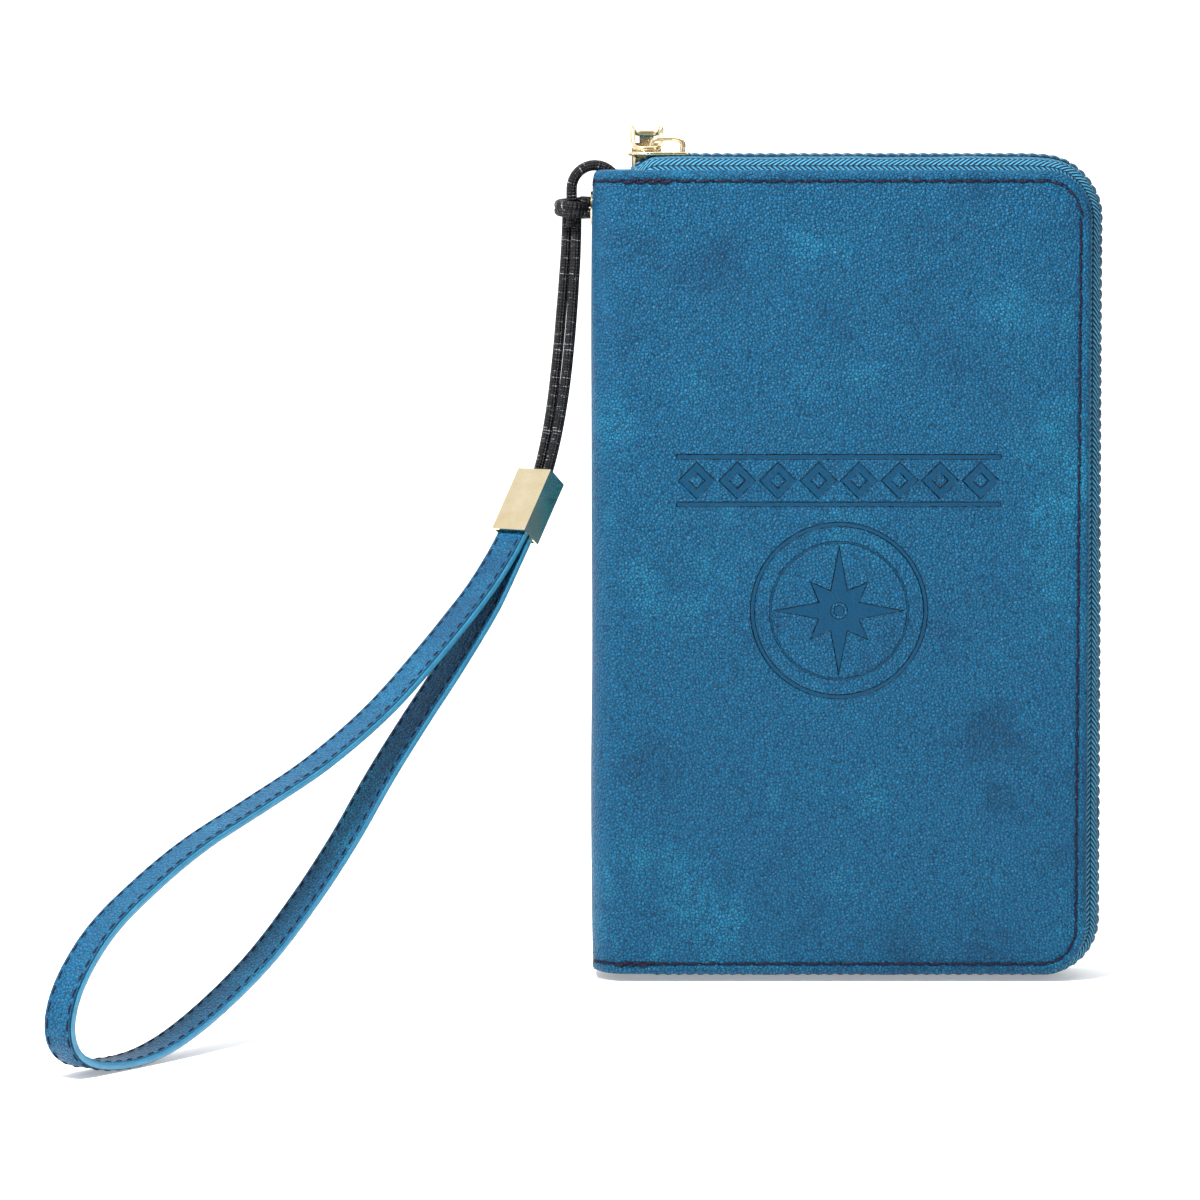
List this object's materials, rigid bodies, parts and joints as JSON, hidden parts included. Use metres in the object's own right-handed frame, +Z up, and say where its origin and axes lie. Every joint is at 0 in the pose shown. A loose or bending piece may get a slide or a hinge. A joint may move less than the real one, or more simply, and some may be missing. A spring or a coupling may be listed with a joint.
{
  "type": "passport wallet",
  "caption": "Zip-around passport wallet that opens flat on a leather spine, with pockets inside, a sliding zipper pull and a wrist strap on a hitched cord.",
  "frame": {"origin": "on the surface that the wallet stands on, under the middle of the closed wallet", "axes": "+X from the spine to the long zipper side, +Y from the front cover to the back cover, +Z up along the spine"},
  "size_m": [0.238, 0.1621, 0.2014],
  "materials": {
    "leather": "grained peacock blue with a cloudy two-tone finish, semi-matt",
    "board": "raw",
    "lining": "fine woven",
    "pocket_leather": "grained, semi-matt",
    "zipper_tape": "herringbone weave",
    "zipper_coil": "nylon, satin",
    "elastic": "ribbed elastic",
    "gold_metal": "polished pale gold plating",
    "cord": "waxed braid",
    "strap_leather": "grained, painted edges"
  },
  "bodies": {
    "back_half": {"back_cover_leather": "leather", "back_cover_board": "board", "back_lining": "lining", "boarding_pass_pocket": "pocket_leather", "passport_pocket": "pocket_leather", "zipper_tape_back": "zipper_tape", "zipper_coil_back": "zipper_coil"},
    "spine": {"spine_leather": "leather", "spine_lining": "lining", "pen_loop": "elastic", "eyelet": "gold_metal", "eyelet_washer": "gold_metal", "cord_hitch": "cord"},
    "front_half": {"front_cover_leather": "leather", "front_cover_board": "board", "front_lining": "lining", "card_pocket_1": "pocket_leather", "card_pocket_2": "pocket_leather", "card_pocket_3": "pocket_leather", "card_pocket_4": "pocket_leather", "zipper_tape_front": "zipper_tape", "zipper_coil_front": "zipper_coil"},
    "slider": {"slider_body": "gold_metal", "slider_bridge": "gold_metal"},
    "pull_link": {"pull_link": "gold_metal"},
    "pull_tab": {"pull_tab": "gold_metal"},
    "strap": {"cord_strand_left": "cord", "cord_strand_right": "cord", "strap_clamp": "gold_metal", "strap_loop": "strap_leather"}
  },
  "joints": [
    {"name": "spine_fold", "type": "hinge", "parent": "back_half", "child": "spine", "pos_m": [-0.05878, 0.01078, 0.0975], "axis": [0, 0, 1], "range_deg": [-90, 0]},
    {"name": "cover_fold", "type": "hinge", "parent": "spine", "child": "front_half", "pos_m": [-0.05878, -0.01078, 0.0975], "axis": [0, 0, 1], "range_deg": [-90, 0]},
    {"name": "slider_travel", "type": "slide", "parent": "back_half", "child": "slider", "axis": [1, 0, 0], "range_m": [0, 0.083]},
    {"name": "link_lift", "type": "hinge", "parent": "slider", "child": "pull_link", "pos_m": [-0.0477, -0.002, 0.19685], "axis": [1, 0, 0], "range_deg": [0, 12]},
    {"name": "tab_swing", "type": "hinge", "parent": "pull_link", "child": "pull_tab", "pos_m": [-0.0477, 0.0136, 0.20039], "axis": [1, 0, 0], "range_deg": [0, 150]},
    {"name": "strap_lift", "type": "hinge", "parent": "spine", "child": "strap", "pos_m": [-0.0655, 0, 0.1785], "axis": [-0.8, 0.6, 0], "range_deg": [0, 75]}
  ],
  "couplings": [
    {"joint": "cover_fold", "follows": "spine_fold", "ratio": 1}
  ]
}
